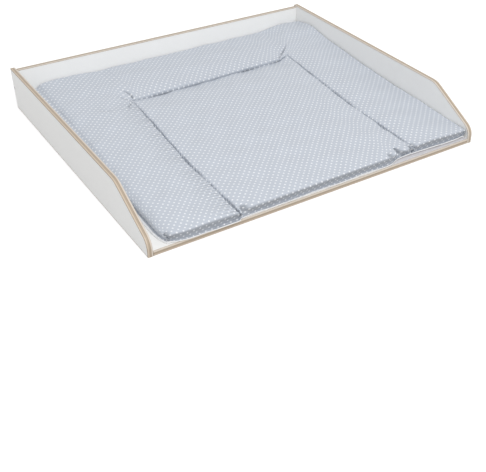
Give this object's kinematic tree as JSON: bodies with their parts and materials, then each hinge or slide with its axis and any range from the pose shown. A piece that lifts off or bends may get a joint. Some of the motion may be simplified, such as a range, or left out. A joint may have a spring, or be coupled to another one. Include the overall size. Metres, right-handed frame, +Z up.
{
  "type": "changing top",
  "caption": "Open-fronted tray that rests on a chest of drawers, with sloped sides, ply-look edge bands and a padded changing mat with sewn borders.",
  "frame": {"origin": "middle of the tray's underside, on the surface that it rests on", "axes": "+X to the right as seen from the open front, +Y towards the back board, +Z up"},
  "size_m": [0.87, 0.76, 0.108],
  "materials": {
    "white_board": "smooth satin white melamine face on particle board",
    "ply_look_band": "edge band printed with the layers of plywood",
    "dowel_wood": "raw beech",
    "screw_steel": "zinc plated",
    "dotted_cloth": "wipe-clean coated cloth, grey-blue with small white dots",
    "plain_cloth": "plain white wipe-clean film",
    "wadding": "soft polyester wadding"
  },
  "bodies": {
    "tray": {"base_board": "white_board", "back_panel": "white_board", "left_side_panel": "white_board", "right_side_panel": "white_board", "left_side_edge_band": "ply_look_band", "right_side_edge_band": "ply_look_band", "left_foot_edge_band": "ply_look_band", "right_foot_edge_band": "ply_look_band", "base_front_edge_band": "ply_look_band", "back_top_edge_band": "ply_look_band", "back_foot_dowel_left": "dowel_wood", "back_foot_dowel_middle": "dowel_wood", "back_foot_dowel_right": "dowel_wood", "left_back_dowel_lower": "dowel_wood", "left_back_dowel_upper": "dowel_wood", "left_base_dowel_front": "dowel_wood", "left_base_dowel_front_middle": "dowel_wood", "left_base_dowel_rear": "dowel_wood", "left_base_dowel_rear_middle": "dowel_wood", "right_back_dowel_lower": "dowel_wood", "right_back_dowel_upper": "dowel_wood", "right_base_dowel_front": "dowel_wood", "right_base_dowel_front_middle": "dowel_wood", "right_base_dowel_rear": "dowel_wood", "right_base_dowel_rear_middle": "dowel_wood", "left_screw": "screw_steel", "right_screw": "screw_steel"},
    "mat": {"mat_top_cover": "dotted_cloth", "mat_bottom_cover": "plain_cloth", "centre_wadding": "wadding", "left_border_wadding": "wadding", "right_border_wadding": "wadding", "rear_border_wadding": "wadding"}
  },
  "joints": [
    {"name": "mat_lift", "type": "slide", "parent": "tray", "child": "mat", "axis": [0, 0, 1], "range_m": [0, 0.15]}
  ]
}
